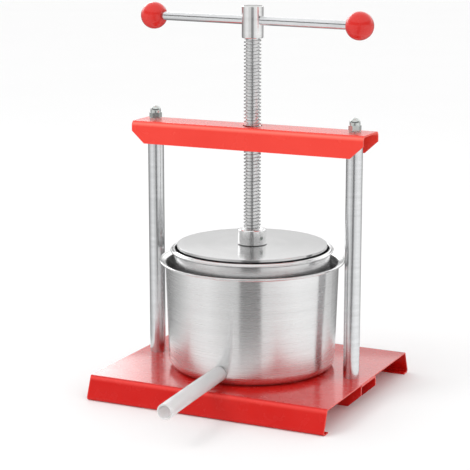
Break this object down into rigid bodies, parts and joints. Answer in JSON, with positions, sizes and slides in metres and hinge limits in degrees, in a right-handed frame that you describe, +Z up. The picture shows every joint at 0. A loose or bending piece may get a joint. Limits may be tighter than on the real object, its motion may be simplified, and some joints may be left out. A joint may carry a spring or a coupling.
{
  "type": "cheese press",
  "caption": "Tabletop screw press for cheese or fruit: a screw with a ball-ended sliding handle drives a round plate into a perforated basket standing in a steel pot with an outlet hose.",
  "frame": {"origin": "on the ground, midway between the posts, under the screw", "axes": "+Z up along the screw, +X from the left post to the right post, -Y towards the user, the way the outlet points"},
  "size_m": [0.3118, 0.3821, 0.455],
  "materials": {
    "red_powder_coat": "semi-gloss powder coat",
    "polished_steel": "polished stainless steel",
    "zinc_steel": "bright zinc plate",
    "brass": "machined",
    "red_gloss_plastic": "satin gloss",
    "brushed_stainless": "brushed round the axis",
    "clear_hose": "translucent soft vinyl"
  },
  "bodies": {
    "frame": {"base_plate": "red_powder_coat", "base_channel": "red_powder_coat", "left_post": "polished_steel", "right_post": "polished_steel", "left_tie_rod": "zinc_steel", "right_tie_rod": "zinc_steel", "cap_nuts": "zinc_steel", "spring_washers": "zinc_steel", "lower_washers": "zinc_steel", "lower_nuts": "zinc_steel", "crossbeam": "red_powder_coat", "screw_bush": "brass"},
    "press_head": {"press_plate": "brushed_stainless", "press_collar": "polished_steel", "collar_set_screws": "polished_steel", "thrust_pad": "brass"},
    "screw": {"press_screw": "polished_steel", "screw_hub": "polished_steel"},
    "handle": {"handle_bar": "polished_steel", "left_knob": "red_gloss_plastic", "right_knob": "red_gloss_plastic"},
    "vessel": {"outer_pot": "brushed_stainless", "outlet_spout": "brushed_stainless", "outlet_hose": "clear_hose", "inner_basket": "brushed_stainless"}
  },
  "joints": [
    {"name": "press_travel", "type": "slide", "parent": "frame", "child": "press_head", "axis": [0, 0, 1], "range_m": [-0.085, 0.09]},
    {"name": "screw_turn", "type": "hinge", "parent": "press_head", "child": "screw", "pos_m": [0, 0, 0.184], "axis": [0, 0, 1], "range_deg": [-7650, 8100]},
    {"name": "handle_slide", "type": "slide", "parent": "screw", "child": "handle", "axis": [0.989, -0.1478, 0], "range_m": [-0.114, 0.114]},
    {"name": "vessel_slide", "type": "slide", "parent": "frame", "child": "vessel", "axis": [0, -1, 0], "range_m": [0, 0.27]}
  ],
  "couplings": [
    {"joint": "press_travel", "follows": "screw_turn", "m_per_rad": 0.00063662}
  ]
}
